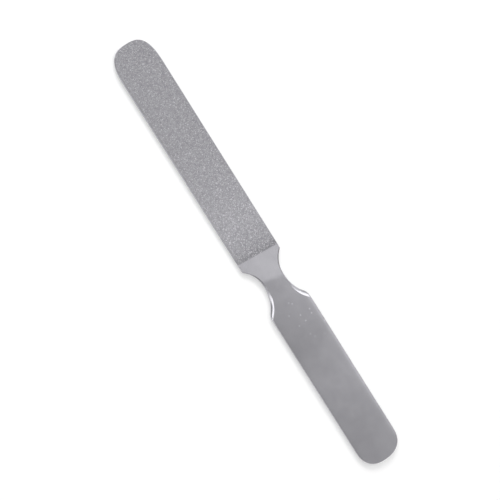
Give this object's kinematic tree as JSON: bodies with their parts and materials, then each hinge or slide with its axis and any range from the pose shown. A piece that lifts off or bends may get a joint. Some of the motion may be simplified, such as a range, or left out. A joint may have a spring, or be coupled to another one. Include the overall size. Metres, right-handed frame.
{
  "type": "nail file",
  "caption": "Flat metal hand file: a round-ended abrasive blade, a scalloped waist with bevelled shoulders and a bare steel handle.",
  "frame": {"origin": "under the middle of the file's length and width, in the plane of the handle's back face", "axes": "+X along the file to the blade's tip, +Y across the file, +Z out of the front face"},
  "size_m": [0.2, 0.0186, 0.0024],
  "materials": {
    "polished_steel": "satin-polished stainless steel, with brighter polished bevels",
    "coarse_grit": "coarse abrasive grains in a plated nickel bond, matt grey",
    "fine_grit": "fine abrasive grains in a plated nickel bond, matt grey"
  },
  "bodies": {
    "root": {"steel_blank": "polished_steel", "coarse_coat": "coarse_grit", "fine_coat": "fine_grit"}
  },
  "joints": []
}
